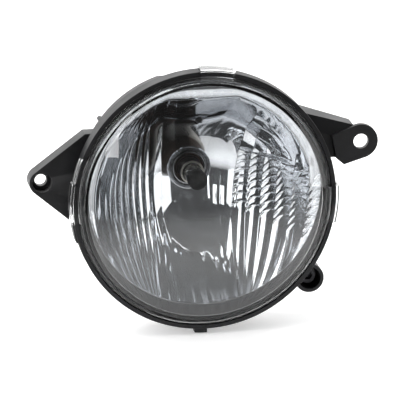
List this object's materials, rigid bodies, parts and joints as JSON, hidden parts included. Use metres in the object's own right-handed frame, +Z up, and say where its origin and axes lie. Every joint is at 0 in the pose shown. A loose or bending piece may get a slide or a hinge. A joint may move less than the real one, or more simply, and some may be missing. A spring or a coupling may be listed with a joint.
{
  "type": "automotive fog light",
  "caption": "Round automotive fog light: black housing with two mounting ears and an aim adjuster, clear domed lens, bright reflector and a black-tipped bulb on a quarter-turn base.",
  "frame": {"origin": "on the rim's axis, in the plane of the rim's front edge", "axes": "-Y out of the lens, +X to the right seen from the front, +Z up as fitted"},
  "size_m": [0.2187, 0.1017, 0.1688],
  "materials": {
    "black_plastic": "moulded black, fine grain",
    "clear_lens": "clear polycarbonate, polished mould",
    "sealant": "cured black sealant",
    "reflector": "vacuum-deposited aluminium on moulded plastic",
    "steel": "plain steel",
    "zinc_steel": "zinc plated, yellow passivated",
    "bulb_plastic": "dark brown heat-proof moulded plastic",
    "bulb_metal": "drawn nickel-plated steel",
    "bulb_glass": "clear hard glass",
    "black_coat": "matt black heat-proof coat",
    "tungsten": "drawn tungsten coil",
    "silicone": "moulded silicone",
    "black_rubber": "moulded rubber",
    "membrane": "breathable film",
    "nylon": "natural nylon"
  },
  "bodies": {
    "lamp": {"housing": "black_plastic", "lens": "clear_lens", "lens_sealant": "sealant", "reflector": "reflector", "reflector_screws": "steel", "vent_cap": "black_rubber", "vent_membrane": "membrane", "adjuster_bushing": "nylon"},
    "bulb": {"bulb_base": "bulb_plastic", "bulb_metal_ring": "bulb_metal", "bulb_clamp": "bulb_metal", "bulb_glass": "bulb_glass", "bulb_black_cap": "black_coat", "bulb_filament": "tungsten", "bulb_lead_wires": "bulb_metal", "bulb_bridge": "bulb_glass", "bulb_o_ring": "silicone", "bulb_terminals": "steel"},
    "aim_screw": {"adjuster_screw": "zinc_steel", "adjuster_retainer": "steel"},
    "aim_nut": {"adjuster_ball_nut": "nylon"}
  },
  "joints": [
    {"name": "bulb_turn", "type": "hinge", "parent": "lamp", "child": "bulb", "pos_m": [0, 0.0643, 0.006], "axis": [0, 1, 0], "range_deg": [0, 45]},
    {"name": "aim_screw_turn", "type": "hinge", "parent": "lamp", "child": "aim_screw", "pos_m": [0.0702, 0.036, -0.06], "axis": [0, 1, 0], "range_deg": [-1440, 1440]},
    {"name": "aim_nut_travel", "type": "slide", "parent": "lamp", "child": "aim_nut", "axis": [0, 1, 0], "range_m": [-0.006, 0.006]}
  ],
  "couplings": [
    {"joint": "aim_nut_travel", "follows": "aim_screw_turn", "m_per_rad": -0.00023873}
  ]
}
